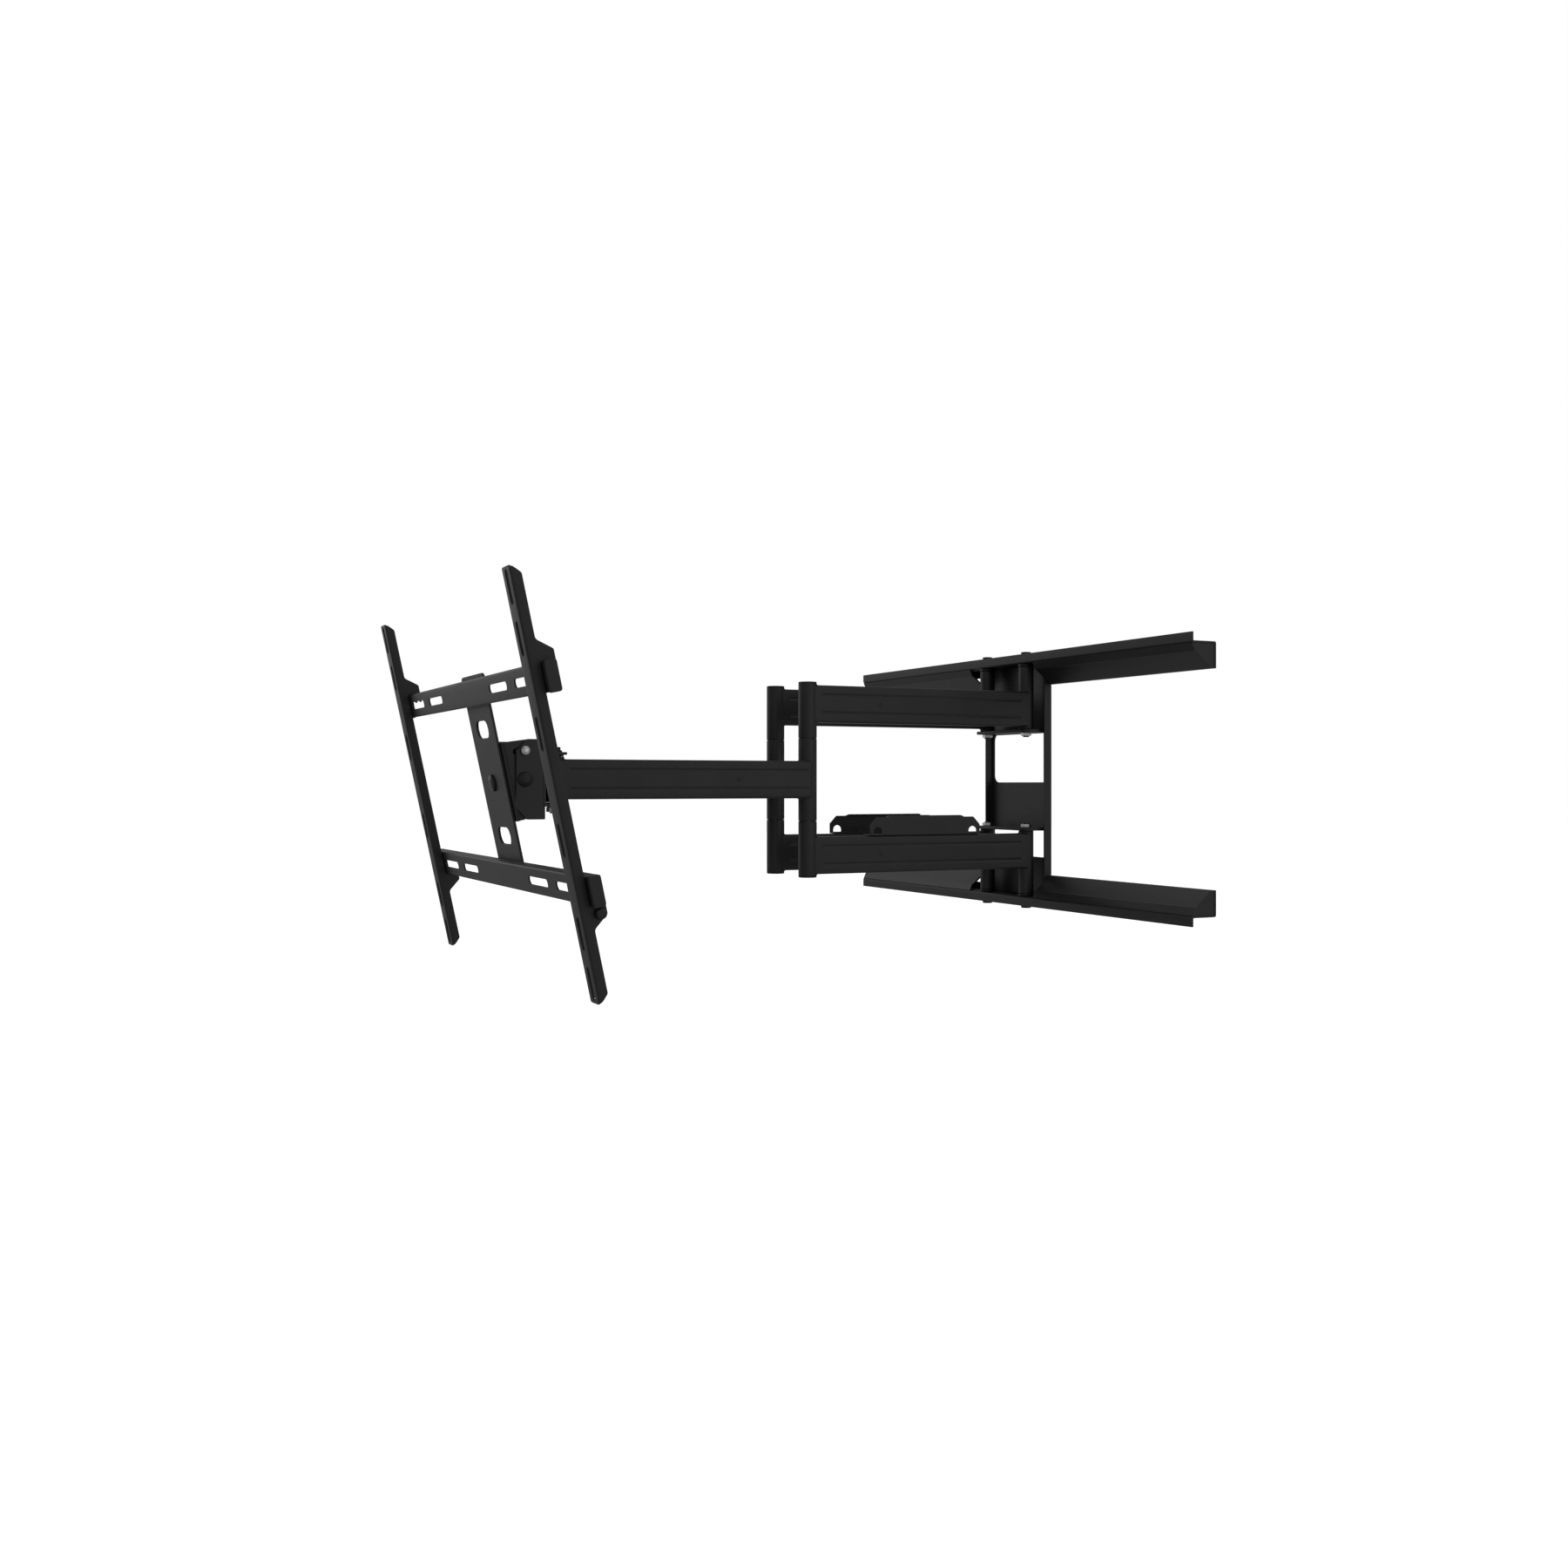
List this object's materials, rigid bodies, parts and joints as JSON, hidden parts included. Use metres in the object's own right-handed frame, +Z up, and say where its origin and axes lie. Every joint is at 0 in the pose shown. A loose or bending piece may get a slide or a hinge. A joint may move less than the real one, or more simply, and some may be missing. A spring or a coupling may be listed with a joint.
{
  "type": "full motion screen wall mount",
  "caption": "Black steel wall mount with two folding arm pairs on a railed wall plate and a tilting, levelling head with hooked screen brackets.",
  "frame": {"origin": "middle of the centre plate's solid band, on its wall side", "axes": "+X along the wall to the right seen from the room, +Y into the wall, +Z up"},
  "size_m": [0.766, 0.7925, 0.421],
  "materials": {
    "black_powder_coat": "satin black powder coat",
    "black_plastic": "fine-grained black moulding",
    "dark_nylon": "smooth dark nylon",
    "zinc_plate": "bright zinc plate",
    "black_oxide": "black oxide"
  },
  "bodies": {
    "wall_plate": {"centre_plate": "black_powder_coat", "upper_wall_rail": "black_powder_coat", "upper_hinge_ear": "black_powder_coat", "lower_wall_rail": "black_powder_coat", "lower_hinge_ear": "black_powder_coat", "left_upper_rail_cover": "black_plastic", "left_upper_wall_bolt": "black_oxide", "left_upper_wall_nut": "zinc_plate", "left_upper_wall_washer": "dark_nylon", "left_lower_rail_cover": "black_plastic", "left_lower_wall_bolt": "black_oxide", "left_lower_wall_nut": "zinc_plate", "left_lower_wall_washer": "dark_nylon", "right_upper_rail_cover": "black_plastic", "right_upper_wall_bolt": "black_oxide", "right_upper_wall_nut": "zinc_plate", "right_upper_wall_washer": "dark_nylon", "right_lower_rail_cover": "black_plastic", "right_lower_wall_bolt": "black_oxide", "right_lower_wall_nut": "zinc_plate", "right_lower_wall_washer": "dark_nylon"},
    "left_rear_arms": {"left_upper_rear_arm": "black_powder_coat", "left_upper_post_cap": "black_plastic", "left_upper_elbow_washer": "dark_nylon", "left_lower_rear_arm": "black_powder_coat", "left_lower_post_cap": "black_plastic", "left_lower_elbow_washer": "dark_nylon", "left_elbow_pin": "zinc_plate", "left_cable_guard": "black_plastic"},
    "right_rear_arms": {"right_upper_rear_arm": "black_powder_coat", "right_upper_post_cap": "black_plastic", "right_upper_elbow_washer": "dark_nylon", "right_lower_rear_arm": "black_powder_coat", "right_lower_post_cap": "black_plastic", "right_lower_elbow_washer": "dark_nylon", "right_elbow_pin": "zinc_plate", "right_cable_guard": "black_plastic"},
    "left_forearm_body": {"left_forearm": "black_powder_coat"},
    "right_forearm_body": {"right_forearm": "black_powder_coat"},
    "head": {"head_yoke": "black_powder_coat", "left_head_bolt": "black_oxide", "left_head_nut": "zinc_plate", "left_upper_head_washer": "dark_nylon", "left_lower_head_washer": "dark_nylon", "left_tilt_rivet": "black_oxide", "left_tilt_stop": "zinc_plate", "right_head_bolt": "black_oxide", "right_head_nut": "zinc_plate", "right_upper_head_washer": "dark_nylon", "right_lower_head_washer": "dark_nylon", "right_tilt_rivet": "black_oxide", "right_tilt_stop": "zinc_plate"},
    "tilt_frame": {"tilt_bracket": "black_powder_coat", "level_rivet": "black_oxide"},
    "level_frame": {"level_plate": "black_powder_coat", "upper_crossbar": "black_powder_coat", "lower_crossbar": "black_powder_coat"},
    "left_bracket": {"left_screen_bracket": "black_powder_coat"},
    "right_bracket": {"right_screen_bracket": "black_powder_coat"}
  },
  "joints": [
    {"name": "arm_fold", "type": "hinge", "parent": "wall_plate", "child": "left_rear_arms", "pos_m": [-0.046, -0.0244, 0.034], "axis": [0, 0, -1], "range_deg": [0, 86]},
    {"name": "left_elbow", "type": "hinge", "parent": "left_rear_arms", "child": "left_forearm_body", "pos_m": [-0.046, -0.3455, 0.034], "axis": [0, 0, 1], "range_deg": [0, 172]},
    {"name": "head_hinge", "type": "hinge", "parent": "left_forearm_body", "child": "head", "pos_m": [-0.046, -0.6666, 0.034], "axis": [0, 0, -1], "range_deg": [0, 86]},
    {"name": "right_wall_hinge", "type": "hinge", "parent": "wall_plate", "child": "right_rear_arms", "pos_m": [0.046, -0.0244, 0.034], "axis": [0, 0, 1], "range_deg": [0, 86]},
    {"name": "right_elbow", "type": "hinge", "parent": "right_rear_arms", "child": "right_forearm_body", "pos_m": [0.046, -0.3455, 0.034], "axis": [0, 0, -1], "range_deg": [0, 172]},
    {"name": "tilt", "type": "hinge", "parent": "head", "child": "tilt_frame", "pos_m": [0, -0.7051, 0.034], "axis": [1, 0, 0], "range_deg": [-17, 3]},
    {"name": "level", "type": "hinge", "parent": "tilt_frame", "child": "level_frame", "pos_m": [0, -0.7051, 0.034], "axis": [0, -0.9781, -0.2079], "range_deg": [-3, 3]},
    {"name": "left_bracket_slide", "type": "slide", "parent": "level_frame", "child": "left_bracket", "axis": [1, 0, 0], "range_m": [0, 0.15]},
    {"name": "right_bracket_slide", "type": "slide", "parent": "level_frame", "child": "right_bracket", "axis": [-1, 0, 0], "range_m": [0, 0.15]}
  ],
  "couplings": [
    {"joint": "left_elbow", "follows": "arm_fold", "ratio": 2},
    {"joint": "head_hinge", "follows": "arm_fold", "ratio": 1},
    {"joint": "right_wall_hinge", "follows": "arm_fold", "ratio": 1},
    {"joint": "right_elbow", "follows": "arm_fold", "ratio": 2}
  ]
}
